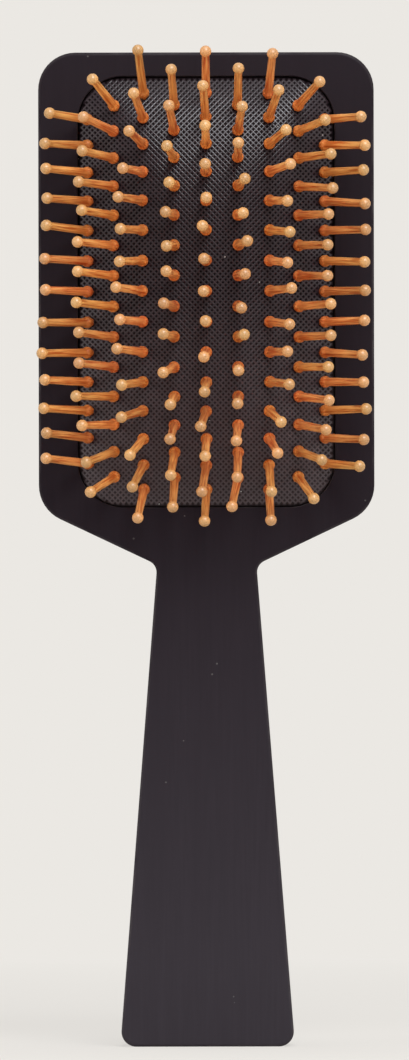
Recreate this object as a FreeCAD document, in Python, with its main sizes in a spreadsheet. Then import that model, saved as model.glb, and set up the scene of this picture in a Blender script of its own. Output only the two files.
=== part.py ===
"""Paddle hair brush: a flat board with a handle, an air cushion and a field of turned pins.

X runs across the brush, Y through its thickness with the pins towards -Y, and Z up along the
handle. The origin is the middle of the flat handle end, on which the brush stands.
Lengths are in millimetres and angles in degrees.
"""
import FreeCAD, Part
import Sketcher
import math
import os

# Every size that can be set by itself: name, value, meaning.
SIZES = [
    ("overall_length", 240.0, "handle end to top of the head"),
    ("head_width", 81.0, "width of the head"),
    ("board_thickness", 15.0, "thickness of the board"),
    ("shoulder_height", 129.8, "height where the head's sides meet the sloping shoulders"),
    ("neck_height", 116.3, "height where the shoulders meet the handle"),
    ("neck_width", 24.0, "width of the handle at the neck"),
    ("handle_end_width", 42.2, "width of the handle at its end"),
    ("head_corner_radius", 9.0, "rounding of the top corners"),
    ("shoulder_radius", 9.0, "rounding of the shoulders"),
    ("neck_radius", 3.0, "hollow rounding between shoulder and handle"),
    ("handle_corner_radius", 3.6, "rounding of the handle's bottom corners"),
    ("edge_round", 0.8, "rounding of the board's front and back edges"),
    ("cushion_width", 62.0, "width of the recess mouth that holds the cushion"),
    ("cushion_length", 104.0, "length of the recess mouth"),
    ("cushion_centre_height", 182.2, "height of the middle of the cushion"),
    ("cushion_corner_radius", 11.0, "rounding of the recess mouth's corners"),
    ("mouth_chamfer", 0.2, "broken edge of the recess mouth"),
    ("recess_depth", 8.0, "depth of the air chamber behind the cushion"),
    ("lip_thickness", 2.4, "wood left in front of the undercut groove"),
    ("flange_reach", 1.5, "depth of the undercut groove behind the lip"),
    ("flange_thickness", 1.6, "thickness of the rubber flange in the groove"),
    ("rubber_gap", 0.2, "gap round the rubber, sideways"),
    ("flange_clearance", 0.1, "gap in front of and behind the flange"),
    ("rim_drop", 0.8, "how far the cushion's rim lies below the board's face"),
    ("crown_height", 11.5, "rise of the cushion over its rim"),
    ("membrane_thickness", 1.6, "rubber thickness of the dome"),
    ("skirt_wall", 1.4, "rubber thickness of the skirt"),
    ("dome_side_power", 2.2, "how flat the dome is across the brush"),
    ("dome_end_power", 3.8, "how flat the dome is along the brush"),
    ("dome_corner_blend", 3.0, "how square the dome's height lines are"),
    ("edge_column_inset", 3.0, "recess side to the outermost pins"),
    ("end_row_inset", 4.8, "recess end to the outermost pins"),
    ("spacing_arc", 42.0, "angle whose sines set the spacing, closer towards the rim"),
    ("pin_reach", 17.0, "cushion surface to the middle of the ball tip"),
    ("ball_diameter", 2.8, "ball tip"),
    ("shaft_tip_diameter", 1.8, "pin shaft where it meets the ball"),
    ("shaft_base_diameter", 2.1, "pin shaft where it meets the bead"),
    ("bead_seat_diameter", 2.1, "underside of the round bead that sits on the cushion"),
    ("bead_length", 2.1, "height of the bead"),
    ("bead_round", 1.6, "radius of the bead's side"),
    ("neck_diameter", 1.9, "pin where it passes through the rubber"),
    ("foot_diameter", 2.9, "barb behind the rubber"),
    ("foot_tip_diameter", 1.5, "blunt end of the barb"),
    ("foot_length", 2.0, "length of the barb"),
    ("seat_gap", 0.1, "gap between the rubber and the pin's bead and barb"),
    ("hole_gap", 0.05, "gap round the pin's neck in the rubber"),
]

# The pins stand in a staggered field: columns and half-pitch rows counted from the middle.
LAST_COLUMN = 4
LAST_ROW = 14
COLUMN_NAMES = ["centre", "inner", "middle", "outer", "edge"]

# Spans of the smooth surfaces through the dome's formula, and how far they run past its rim.
DOME_SPANS_ACROSS = 20
DOME_SPANS_ALONG = 28
DOME_OVERRUN = 1.06

NEAR = 1e-4

# Levels are measured forwards from the board's middle plane.
FRONT_FACE = "sizes.board_thickness / 2"
FLANGE_BACK = f"{FRONT_FACE} - sizes.lip_thickness - sizes.flange_clearance - sizes.flange_thickness"
GROOVE_FRONT = f"{FRONT_FACE} - sizes.lip_thickness"
RECESS_FLOOR = f"{FRONT_FACE} - sizes.recess_depth"

doc = FreeCAD.newDocument("paddle_brush")
sheet = doc.addObject("Spreadsheet::Sheet", "sizes")
for row, (alias, value, meaning) in enumerate(SIZES, 1):
    sheet.set(f"A{row}", meaning)
    sheet.set(f"B{row}", str(value))
    sheet.setAlias(f"B{row}", alias)
doc.recompute()


def size(alias):
    """Value of one cell of the sheet."""
    return float(sheet.get(alias))


def origin_plane(body, role):
    """One of a body's own origin planes."""
    return next(plane for plane in body.Origin.OriginFeatures if plane.Role == role)


def front_sketch(body, name, level):
    """Sketch seen from the front, x across and y up, at a level in front of the middle plane."""
    sketch = body.newObject("Sketcher::SketchObject", name)
    sketch.AttachmentSupport = (origin_plane(body, "XZ_Plane"), [""])
    sketch.MapMode = "FlatFace"
    sketch.setExpression("AttachmentOffset.Base.z", level)
    return sketch


def bind(sketch, name, expression, *constraint):
    """Adds a dimension to a sketch and ties it to the sheet."""
    measured = sketch.addConstraint(Sketcher.Constraint(*constraint))
    sketch.renameConstraint(measured, name)
    sketch.setExpression(f"Constraints.{name}", expression)


def join_ends(sketch, count):
    """Joins a ring of sketch curves end to start."""
    for i in range(count):
        sketch.addConstraint(Sketcher.Constraint("Coincident", i, 2, (i + 1) % count, 1))


def set_edges(feature, base, names):
    """Gives a fillet or chamfer the edges of the feature that it works on."""
    feature.Base = (base, names)
    doc.recompute()
    return feature


def draw_board(sketch):
    """Board outline with sharp corners: handle, shoulders and head, alike on both sides."""
    right_half = [
        (size("handle_end_width") / 2, 0),
        (size("neck_width") / 2, size("neck_height")),
        (size("head_width") / 2, size("shoulder_height")),
        (size("head_width") / 2, size("overall_length")),
    ]
    corners = right_half + [(-x, y) for x, y in reversed(right_half)]
    points = [FreeCAD.Vector(x, y, 0) for x, y in corners]
    for i, point in enumerate(points):
        sketch.addGeometry(Part.LineSegment(point, points[(i + 1) % len(points)]), False)
    join_ends(sketch, len(points))
    end, neck, shoulder, top = range(len(right_half))
    opposite = len(points) - 1
    for right in (end, neck, shoulder, top):
        sketch.addConstraint(Sketcher.Constraint("Symmetric", right, 1, opposite - right, 1, -2))
    sketch.addConstraint(Sketcher.Constraint("PointOnObject", end, 1, -1))
    sketch.addConstraint(Sketcher.Constraint("Vertical", shoulder))
    for right, name in ((end, "handle_end_width"), (neck, "neck_width"), (shoulder, "head_width")):
        bind(sketch, name, f"sizes.{name}", "DistanceX", opposite - right, 1, right, 1, 2 * points[right].x)
    for right, name in ((neck, "neck_height"), (shoulder, "shoulder_height"), (top, "overall_length")):
        bind(sketch, name, f"sizes.{name}", "DistanceY", -1, 1, right, 1, points[right].y)


def draw_mouth(sketch, grow):
    """Rounded rectangle of the recess mouth, larger all round by the expression `grow`."""
    right = size("cushion_width") / 2
    top = size("cushion_length") / 2
    radius = size("cushion_corner_radius")
    centre = size("cushion_centre_height")
    across = right - radius
    along = top - radius
    turns = [(across, along), (-across, along), (-across, -along), (across, -along)]
    for quarter, (x, y) in enumerate(turns):
        middle = FreeCAD.Vector(x, centre + y, 0)
        circle = Part.Circle(middle, FreeCAD.Vector(0, 0, 1), radius)
        begin = quarter * math.pi / 2
        sketch.addGeometry(Part.ArcOfCircle(circle, begin, begin + math.pi / 2), False)
    for quarter in range(4):
        start = sketch.Geometry[quarter].EndPoint
        end = sketch.Geometry[(quarter + 1) % 4].StartPoint
        sketch.addGeometry(Part.LineSegment(start, end), False)
    for quarter in range(4):
        line = quarter + 4
        sketch.addConstraint(Sketcher.Constraint("Tangent", quarter, 2, line, 1))
        sketch.addConstraint(Sketcher.Constraint("Tangent", line, 2, (quarter + 1) % 4, 1))
    for line, direction in ((4, "Horizontal"), (5, "Vertical"), (6, "Horizontal"), (7, "Vertical")):
        sketch.addConstraint(Sketcher.Constraint(direction, line))
    for quarter in (1, 2, 3):
        sketch.addConstraint(Sketcher.Constraint("Equal", 0, quarter))
    bind(sketch, "corner", f"sizes.cushion_corner_radius + {grow}", "Radius", 0, radius)
    bind(sketch, "width", f"sizes.cushion_width + 2 * ({grow})", "DistanceX", 5, 1, 7, 1, 2 * right)
    bind(sketch, "half", f"sizes.cushion_width / 2 + {grow}", "DistanceX", -1, 1, 7, 1, right)
    bind(sketch, "length", f"sizes.cushion_length + 2 * ({grow})", "DistanceY", 6, 1, 4, 1, 2 * top)
    bottom = f"sizes.cushion_centre_height - sizes.cushion_length / 2 - ({grow})"
    bind(sketch, "bottom", bottom, "DistanceY", -1, 1, 6, 1, centre - top)


def edges_through(shape, width, height):
    """Edges that run through the board's thickness at the corners of a given width and height."""
    names = []
    for number, edge in enumerate(shape.Edges, 1):
        box = edge.BoundBox
        middle = box.Center
        straight = box.XLength < NEAR and box.ZLength < NEAR
        if straight and abs(abs(middle.x) - width / 2) < NEAR and abs(middle.z - height) < NEAR:
            names.append(f"Edge{number}")
    return names


def edges_on_faces(shape, half_thickness):
    """Edges that lie in the board's front or back face."""
    return [
        f"Edge{number}"
        for number, edge in enumerate(shape.Edges, 1)
        if all(abs(abs(vertex.Y) - half_thickness) < NEAR for vertex in edge.Vertexes)
    ]


def edges_of_mouth(shape):
    """Edges of the recess mouth in the board's front face."""
    half_width = size("cushion_width") / 2 + NEAR
    half_length = size("cushion_length") / 2 + NEAR
    front = -size("board_thickness") / 2
    names = []
    for number, edge in enumerate(shape.Edges, 1):
        box = edge.BoundBox
        inside = max(abs(box.XMin), abs(box.XMax)) < half_width
        centre = size("cushion_centre_height")
        inside = inside and max(abs(box.ZMin - centre), abs(box.ZMax - centre)) < half_length
        if inside and abs(box.YMin - front) < NEAR and abs(box.YMax - front) < NEAR:
            names.append(f"Edge{number}")
    return names


def make_paddle_body():
    """Board cut from one plank, with the undercut recess that holds the cushion."""
    body = doc.addObject("PartDesign::Body", "paddle_body")
    outline = front_sketch(body, "board_outline", "0")
    draw_board(outline)
    plank = body.newObject("PartDesign::Pad", "plank")
    plank.Profile = outline
    plank.SideType = "Symmetric"
    plank.setExpression("Length", "sizes.board_thickness")
    doc.recompute()

    corners = [
        ("head_corners", "head_corner_radius", size("head_width"), size("overall_length")),
        ("shoulders", "shoulder_radius", size("head_width"), size("shoulder_height")),
        ("neck_hollows", "neck_radius", size("neck_width"), size("neck_height")),
        ("handle_corners", "handle_corner_radius", size("handle_end_width"), 0.0),
    ]
    last = plank
    for name, radius, width, height in corners:
        rounding = body.newObject("PartDesign::Fillet", name)
        rounding.setExpression("Radius", f"sizes.{radius}")
        last = set_edges(rounding, last, edges_through(last.Shape, width, height))
    rounding = body.newObject("PartDesign::Fillet", "board_edges")
    rounding.setExpression("Radius", "sizes.edge_round")
    set_edges(rounding, last, edges_on_faces(last.Shape, size("board_thickness") / 2))

    mouth = front_sketch(body, "recess_mouth", FRONT_FACE)
    draw_mouth(mouth, "0")
    recess = body.newObject("PartDesign::Pocket", "recess")
    recess.Profile = mouth
    recess.setExpression("Length", "sizes.recess_depth")
    doc.recompute()

    slot = front_sketch(body, "groove_outline", GROOVE_FRONT)
    draw_mouth(slot, "sizes.flange_reach")
    groove = body.newObject("PartDesign::Pocket", "flange_groove")
    groove.Profile = slot
    groove.setExpression("Length", "sizes.flange_thickness + 2 * sizes.flange_clearance")
    doc.recompute()

    broken_edge = body.newObject("PartDesign::Chamfer", "mouth_edge")
    broken_edge.setExpression("Size", "sizes.mouth_chamfer")
    set_edges(broken_edge, groove, edges_of_mouth(groove.Shape))
    return body


def make_prism(name, grow, level, length):
    """Block with the outline of the recess mouth, standing forwards from a level."""
    body = doc.addObject("PartDesign::Body", name)
    outline = front_sketch(body, f"{name}_outline", level)
    draw_mouth(outline, grow)
    block = body.newObject("PartDesign::Pad", f"{name}_block")
    block.Profile = outline
    block.setExpression("Length", length)
    doc.recompute()
    return body


def dome(x, along):
    """Height of the dome over its rim and its two slopes, at a place on the cushion.

    The height is crown * (1 - r), where r is the blended sum of two powers, one of the distance
    across and one of the distance along, each as a share of the way to the rim.
    """
    crown = size("crown_height")
    blend = size("dome_corner_blend")
    terms = []
    for place, reach, power in (
        (x, size("cushion_width") / 2, size("dome_side_power")),
        (along, size("cushion_length") / 2, size("dome_end_power")),
    ):
        share = abs(place) / reach
        slope = power / reach * share ** (power - 1) * math.copysign(1, place)
        terms.append((share ** power, slope))
    radius = sum(term ** blend for term, slope in terms) ** (1 / blend)
    if radius == 0:
        return crown, 0.0, 0.0
    slopes = [-crown * slope * (term / radius) ** (blend - 1) for term, slope in terms]
    return crown * (1 - radius), slopes[0], slopes[1]


def dome_point(x, along):
    """Point on the cushion's outer face and the direction that stands square to it."""
    height, slope_across, slope_along = dome(x, along)
    rim = size("rim_drop") - size("board_thickness") / 2
    point = FreeCAD.Vector(x, rim - height, size("cushion_centre_height") + along)
    outwards = FreeCAD.Vector(-slope_across, -1, -slope_along)
    return point, outwards.normalize()


def make_dome_block(name, inset):
    """Solid behind the dome's face, with that face moved inwards square to itself by `inset`."""
    half_width = size("cushion_width") / 2 * DOME_OVERRUN
    half_length = size("cushion_length") / 2 * DOME_OVERRUN
    grid = []
    for i in range(DOME_SPANS_ACROSS + 1):
        x = half_width * (2 * i / DOME_SPANS_ACROSS - 1)
        line = []
        for j in range(DOME_SPANS_ALONG + 1):
            along = half_length * (2 * j / DOME_SPANS_ALONG - 1)
            point, outwards = dome_point(x, along)
            line.append(point - outwards * inset)
        grid.append(line)
    face = Part.BSplineSurface()
    face.interpolate(grid)
    backwards = FreeCAD.Vector(0, size("crown_height") + size("board_thickness"), 0)
    block = doc.addObject("Part::Feature", name)
    block.Shape = face.toShape().extrude(backwards)
    return block


def pin_groups():
    """Pins that sit alike on the dome, as (name, list of (point, direction)) for each group."""
    arc = math.radians(size("spacing_arc"))
    edge_column = size("cushion_width") / 2 - size("edge_column_inset")
    end_row = size("cushion_length") / 2 - size("end_row_inset")
    groups = []
    for column in range(LAST_COLUMN + 1):
        x = edge_column * math.sin(arc * column / LAST_COLUMN) / math.sin(arc)
        for row in range(column % 2, LAST_ROW + 1, 2):
            if column == LAST_COLUMN and row == LAST_ROW:
                continue
            along = end_row * math.sin(arc * row / LAST_ROW) / math.sin(arc)
            sides = (1, -1) if column else (1,)
            ends = (1, -1) if row else (1,)
            places = [dome_point(side * x, end * along) for side in sides for end in ends]
            groups.append((f"{COLUMN_NAMES[column]}_pins_row_{row:02d}", places))
    return groups


def make_cushion_pad(groups):
    """Moulded rubber cushion: a domed membrane, a skirt, a flange and a hole for every pin."""
    skirt = make_prism(
        "skirt", "-sizes.rubber_gap", FLANGE_BACK,
        "sizes.lip_thickness + sizes.flange_clearance + sizes.flange_thickness + sizes.crown_height",
    )
    flange = make_prism(
        "flange", "sizes.flange_reach - sizes.rubber_gap", FLANGE_BACK, "sizes.flange_thickness"
    )
    chamber = make_prism(
        "chamber", "-sizes.rubber_gap - sizes.skirt_wall", RECESS_FLOOR,
        "sizes.recess_depth + sizes.crown_height",
    )
    outer = doc.addObject("Part::Common", "outer_form")
    outer.Base = skirt
    outer.Tool = make_dome_block("outer_dome", 0.0)
    inner = doc.addObject("Part::Common", "inner_form")
    inner.Base = chamber
    inner.Tool = make_dome_block("inner_dome", size("membrane_thickness"))
    solid = doc.addObject("Part::Fuse", "outer_form_with_flange")
    solid.Base = outer
    solid.Tool = flange
    shell = doc.addObject("Part::Cut", "cushion_shell")
    shell.Base = solid
    shell.Tool = inner

    radius = size("neck_diameter") / 2 + size("hole_gap")
    depth = 2 * size("membrane_thickness")
    holes = doc.addObject("Part::Feature", "pin_holes")
    holes.Shape = Part.makeCompound([
        Part.makeCylinder(radius, 2 * depth, point - outwards * depth, outwards)
        for name, places in groups
        for point, outwards in places
    ])
    cushion = doc.addObject("Part::Cut", "cushion_pad")
    cushion.Base = shell
    cushion.Tool = holes
    doc.recompute()
    return cushion


def draw_pin(sketch):
    """Half section of a pin along its axis: barb, neck, round bead, tapered shaft and ball tip."""
    through = size("membrane_thickness") + size("seat_gap")
    seat = size("seat_gap")
    bead_half = size("bead_length") / 2
    bead_bulge = size("bead_round") - math.sqrt(size("bead_round") ** 2 - bead_half ** 2)
    ball = size("ball_diameter") / 2
    shaft_tip = size("shaft_tip_diameter") / 2
    corners = {
        "foot_middle": (0, -through - size("foot_length")),
        "foot_tip": (size("foot_tip_diameter") / 2, -through - size("foot_length")),
        "foot_edge": (size("foot_diameter") / 2, -through),
        "neck_back": (size("neck_diameter") / 2, -through),
        "neck_front": (size("neck_diameter") / 2, seat),
        "bead_seat": (size("bead_seat_diameter") / 2, seat),
        "shaft_base": (size("shaft_base_diameter") / 2, seat + size("bead_length")),
        "shaft_tip": (shaft_tip, size("pin_reach") - math.sqrt(ball ** 2 - shaft_tip ** 2)),
        "tip": (0, size("pin_reach") + ball),
    }
    at = {corner: number for number, corner in enumerate(corners)}
    points = [FreeCAD.Vector(x, y, 0) for x, y in corners.values()]
    arcs_through = {
        at["bead_seat"]: FreeCAD.Vector(points[at["bead_seat"]].x + bead_bulge, seat + bead_half, 0),
        at["shaft_tip"]: FreeCAD.Vector(ball, size("pin_reach"), 0),
    }
    for i, point in enumerate(points):
        following = points[(i + 1) % len(points)]
        if i in arcs_through:
            sketch.addGeometry(Part.Arc(point, arcs_through[i], following), False)
        else:
            sketch.addGeometry(Part.LineSegment(point, following), False)
    join_ends(sketch, len(points))
    for corner in ("foot_middle", "foot_edge", "neck_front"):
        sketch.addConstraint(Sketcher.Constraint("Horizontal", at[corner]))
    for corner in ("neck_back", "tip"):
        sketch.addConstraint(Sketcher.Constraint("Vertical", at[corner]))
    sketch.addConstraint(Sketcher.Constraint("PointOnObject", at["foot_middle"], 1, -2))
    sketch.addConstraint(Sketcher.Constraint("PointOnObject", at["shaft_tip"], 3, -2))
    for corner, name in (
        ("foot_tip", "foot_tip_diameter"),
        ("foot_edge", "foot_diameter"),
        ("neck_front", "neck_diameter"),
        ("bead_seat", "bead_seat_diameter"),
        ("shaft_base", "shaft_base_diameter"),
        ("shaft_tip", "shaft_tip_diameter"),
    ):
        half = f"sizes.{name} / 2"
        bind(sketch, name, half, "DistanceX", -1, 1, at[corner], 1, points[at[corner]].x)
    behind = "sizes.membrane_thickness + sizes.seat_gap"
    for corner, name, depth in (
        ("foot_tip", "foot_end", f"{behind} + sizes.foot_length"),
        ("foot_edge", "barb", behind),
    ):
        bind(sketch, name, depth, "DistanceY", at[corner], 1, -1, 1, -points[at[corner]].y)
    for corner, name, height in (
        ("bead_seat", "seat", "sizes.seat_gap"),
        ("shaft_base", "bead_top", "sizes.seat_gap + sizes.bead_length"),
    ):
        bind(sketch, name, height, "DistanceY", -1, 1, at[corner], 1, points[at[corner]].y)
    bind(sketch, "bead_side", "sizes.bead_round", "Radius", at["bead_seat"], size("bead_round"))
    bind(sketch, "reach", "sizes.pin_reach", "DistanceY", -1, 1, at["shaft_tip"], 3, size("pin_reach"))
    bind(sketch, "ball", "sizes.ball_diameter / 2", "Radius", at["shaft_tip"], ball)


def make_pin_blank():
    """One turned pin with its axis along Z and the cushion's face at the origin."""
    body = doc.addObject("PartDesign::Body", "pin_blank")
    section = front_sketch(body, "pin_section", "0")
    draw_pin(section)
    turned = body.newObject("PartDesign::Revolution", "turned_pin")
    turned.Profile = section
    turned.ReferenceAxis = (section, ["V_Axis"])
    turned.Angle = 360
    doc.recompute()
    return body


def make_pins(name, places, blank):
    """Copies of the pin blank that stand square to the dome at the given places."""
    copies = []
    for point, outwards in places:
        turn = FreeCAD.Rotation(FreeCAD.Vector(0, 0, 1), outwards)
        copy = blank.Shape.copy()
        copy.Placement = FreeCAD.Placement(point, turn)
        copies.append(copy)
    pins = doc.addObject("Part::Feature", name)
    pins.Shape = Part.makeCompound(copies)
    return pins


groups = pin_groups()
pin_blank = make_pin_blank()
subparts = [make_paddle_body(), make_cushion_pad(groups)]
subparts += [make_pins(name, places, pin_blank) for name, places in groups]
doc.recompute()

for item in doc.Objects:
    if "Invalid" in item.State or "Error" in item.State:
        raise RuntimeError(f"{item.Label} did not build: {item.State}")
for item in subparts:
    if item.Shape.isNull() or not item.Shape.isValid():
        raise RuntimeError(f"{item.Label} has no valid shape")

os.makedirs("parts", exist_ok=True)
for item in subparts:
    item.Shape.exportStep(f"parts/{item.Label}.step")
    print(item.Label, len(item.Shape.Solids), round(item.Shape.Volume, 2))
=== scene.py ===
import math

import bpy
import numpy as np
from bpy.props import FloatProperty, FloatVectorProperty, IntProperty, PointerProperty
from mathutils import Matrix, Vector


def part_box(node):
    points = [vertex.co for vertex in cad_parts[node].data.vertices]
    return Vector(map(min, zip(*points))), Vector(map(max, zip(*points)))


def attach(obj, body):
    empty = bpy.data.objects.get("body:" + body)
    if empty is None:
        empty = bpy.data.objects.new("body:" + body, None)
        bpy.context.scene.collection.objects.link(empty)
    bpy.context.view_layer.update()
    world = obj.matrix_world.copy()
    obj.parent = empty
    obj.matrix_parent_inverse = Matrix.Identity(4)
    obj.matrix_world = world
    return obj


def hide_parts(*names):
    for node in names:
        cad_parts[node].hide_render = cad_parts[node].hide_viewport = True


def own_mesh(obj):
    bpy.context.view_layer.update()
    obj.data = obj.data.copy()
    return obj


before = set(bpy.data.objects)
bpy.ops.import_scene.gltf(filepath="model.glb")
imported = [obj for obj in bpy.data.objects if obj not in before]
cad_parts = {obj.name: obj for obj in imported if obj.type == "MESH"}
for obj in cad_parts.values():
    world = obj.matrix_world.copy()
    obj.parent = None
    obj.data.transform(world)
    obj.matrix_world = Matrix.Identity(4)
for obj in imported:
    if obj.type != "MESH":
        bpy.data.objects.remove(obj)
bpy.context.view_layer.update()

# Dresses the paddle brush: a black stained board, an embossed rubber air cushion and turned wooden pins.
# Lengths are in metres. X runs across the brush, Y from the pins to the back and Z up from the handle's end.

bl_info = {
    "name": "Paddle hair brush",
    "version": (1, 0, 0),
    "blender": (4, 5, 0),
    "location": "3D View > Sidebar > Brush",
    "description": "Stained board, embossed rubber cushion and turned wooden pins of a paddle hair brush",
    "category": "Object",
}

# Nodes, a body and a joint of the frame.
BOARD = "paddle_body"
PAD = "cushion_pad"
PADDLE_BODY = "paddle"

BOARD_LOW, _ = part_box(BOARD)
PAD_LOW, PAD_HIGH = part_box(PAD)
PAD_CENTRE = (PAD_LOW.z + PAD_HIGH.z) / 2
SHELF = BOARD_LOW.z

# The pins stand in staggered columns, and the rows are counted in half pitches from the middle.
COLUMN_NAMES = ("centre", "inner", "middle", "outer", "edge")
LAST_COLUMN = len(COLUMN_NAMES) - 1
LAST_ROW = 14

# Seed of the pins' sway and tones.
PIN_SEED = 14414

# A wave texture turns through this angle, in radians, for each unit of its scale and of distance.
WAVE_TURNS = 20.0

# The edge pins hold straight to the side: this power of the way to the side tells how soon that starts.
HOLD_POWER = 6

# Points along the curves of the pieces, and the shares of the shaft at which it has more rings.
FLANGE_EDGE_POINTS = 4
FLANGE_CORNER_POINTS = 10
BEAD_POINTS = 7
BALL_POINTS = 9
SHAFT_RINGS = 0.08, 0.5

# The flange's edges are rounded by this share of its thickness.
FLANGE_ROUND = 0.25

# Points of the cushion's face that lie within one third of a grid step of the outline are moved onto it. The
# underside is the outline, drawn in by rings between two shares of its size.
RIM_PART = 3
UNDERSIDE_SHARES = 0.97, 0.08
UNDERSIDE_RINGS = 18

# Faces that meet at less than these angles are shaded as one smooth surface.
DOME_CREASE = math.radians(100)
FLANGE_CREASE = math.radians(40)
PIN_CREASE = math.radians(50)
FLOOR_CREASE = math.radians(30)

# Where each mask starts and where it is full.
NOISE_MASK = 0.3, 0.7
PATCH_MASK = 0.35, 0.75
RUBBED_AND_HIGHLIT_MASK = 0.02, 0.25
RIB_MASK = 0.35, 0.75
STREAK_MASK = 0.34, 0.88
RING_MASK = 0.0, 0.6

# Noise: its scale and detail. Patches and mottle are scaled per metre, streaks and bands per fibre width.
PATCH_NOISE = 160.0, 4.0
MOTTLE_NOISE = 900.0, 3.0
STREAK_NOISE = 1.0, 3.0
BAND_NOISE = 0.16, 2.0

# Depth of the fibres in metres, the share of the emboss that the rubber's relief rounds off, and how far and
# how finely the rings in the end grain waver.
FIBRE_DEPTH = 0.00002
EMBOSS_RELIEF = 0.4
RING_WAVER = 1.5
RING_DETAIL = 2.0

# What the low and the high end of a mask do: factors on a colour or a mask, hues and steps of roughness. The
# rings' shade is taken off the product of the others, and rubbing takes one step off the roughness.
BAND_STREAKS = 0.4, 1.0
MOTTLE_SHADE = 0.7, 1.0
PIN_STREAK_SHADE = 1.1, 0.9
PIN_BAND_SHADE = 0.9, 1.1
PIN_TONE_SHADE = 0.86, 1.13
PIN_RING_SHADE = 0.09, 0.0
PIN_HUE = 0.495, 0.507
PIN_ROUGHNESS_STEPS = 0.08, -0.06
BOARD_ROUGHNESS_STEPS = -0.05, 0.06
RUBBED_SMOOTHING = 0.08

# Zones of a pin: the share of its reach over which the heart wood fades, and the heights, in ball diameters
# from the ball's middle, between which the wood turns pale and turns into end grain.
HEART_SHARE = 0.7
PALE_ZONE = -0.5, 0.2
END_GRAIN_ZONE = 0.34, 0.44

# Floor: radius, rings and sides of its disc, and the distances between which the shadow on it fades out.
FLOOR_DISC = 1.5, 6, 96
SHADOW_FADE = 0.15, 0.6

# Square lamps: place, size and tint. The sheen lamp only shows in glossy surfaces.
WHITE = 1.0, 1.0, 1.0
WARM = 1.0, 0.98, 0.95
COOL = 0.88, 0.95, 1.0
SHEEN = "sheen"
LAMPS = {
    "key": ((0.26, -0.92, 1.06), 0.8, WHITE),
    SHEEN: ((0.22, -0.95, 1.06), 0.4, COOL),
    "left": ((-0.95, -0.42, 0.22), 0.7, WARM),
    "right": ((0.95, -0.42, 0.22), 0.7, WARM),
    "top": ((0.0, 0.05, 1.1), 0.5, WHITE),
}

# Keeps divisions away from nought.
TINY = 1e-12


def length(name, description, default):
    """Property for a length in metres."""
    return FloatProperty(
        name=name, description=description, default=default, min=0.0, precision=5, unit="LENGTH"
    )


def signed_length(name, description, default):
    """Property for a length in metres that may be negative."""
    return FloatProperty(name=name, description=description, default=default, unit="LENGTH")


def watts(name, description, default):
    """Property for a lamp's power in watts."""
    return FloatProperty(name=name, description=description, default=default, unit="POWER")


def amount(name, description, default, most=1.0):
    """Property for a plain number from nought to a limit."""
    return FloatProperty(name=name, description=description, default=default, min=0.0, max=most)


def angle(name, description, degrees):
    """Property for an angle, whose default is given in degrees."""
    return FloatProperty(name=name, description=description, default=math.radians(degrees), unit="ROTATION")


def colour(name, description, default):
    """Property for a linear colour."""
    return FloatVectorProperty(
        name=name, description=description, default=(*default, 1.0), size=4, min=0.0, max=1.0, subtype="COLOR"
    )


class BoardFinish(bpy.types.PropertyGroup):
    """Black stain on the wooden board."""

    stain: colour("Stain", "Stain on the head", (0.016, 0.0108, 0.0152))
    # Painted light: between the two heights below, the stain turns lighter towards the handle's end.
    painted_light_stain: colour("Faded stain", "Stain at the handle's end, thinned by the hand", (0.0384, 0.0324, 0.0405))
    painted_light_top: length("Fade top", "Height at which the stain starts to fade", 0.13)
    painted_light_bottom: length("Fade bottom", "Height below which the stain is faded", 0.02)
    grain: amount("Grain", "How much the fibres lighten and darken the stain", 0.1)
    # Paler rounded edges: partly wearing of the stain, partly a painted highlight.
    worn_and_highlit_edge: colour("Worn edge", "Stain on the rubbed edges", (0.1, 0.088, 0.092))
    wear_and_highlight: amount("Wear", "How much of the edges is rubbed", 0.5)
    roughness: amount("Roughness", "Roughness of the matte finish", 0.55)
    gloss: amount("Gloss", "Specular level of the finish", 0.06)
    fibre_width: length("Fibre width", "Width of the wood's fibres", 0.0007)
    fibre_stretch: amount("Fibre stretch", "Length of a fibre over its width", 26.0, 200.0)
    relief: amount("Relief", "How strongly the fibres stand out", 0.5)
    dust: colour("Dust", "Colour of the dust", (0.3, 0.29, 0.28))
    dust_cover: amount("Dust cover", "How much of the stain a speck of dust hides", 0.26)
    dust_spacing: length("Dust spacing", "Distance between places where a speck may lie", 0.006)
    dust_size: length("Dust size", "Radius of a speck", 0.00022)
    dust_share: amount("Dust share", "Share of those places that hold a speck", 0.5)


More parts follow.
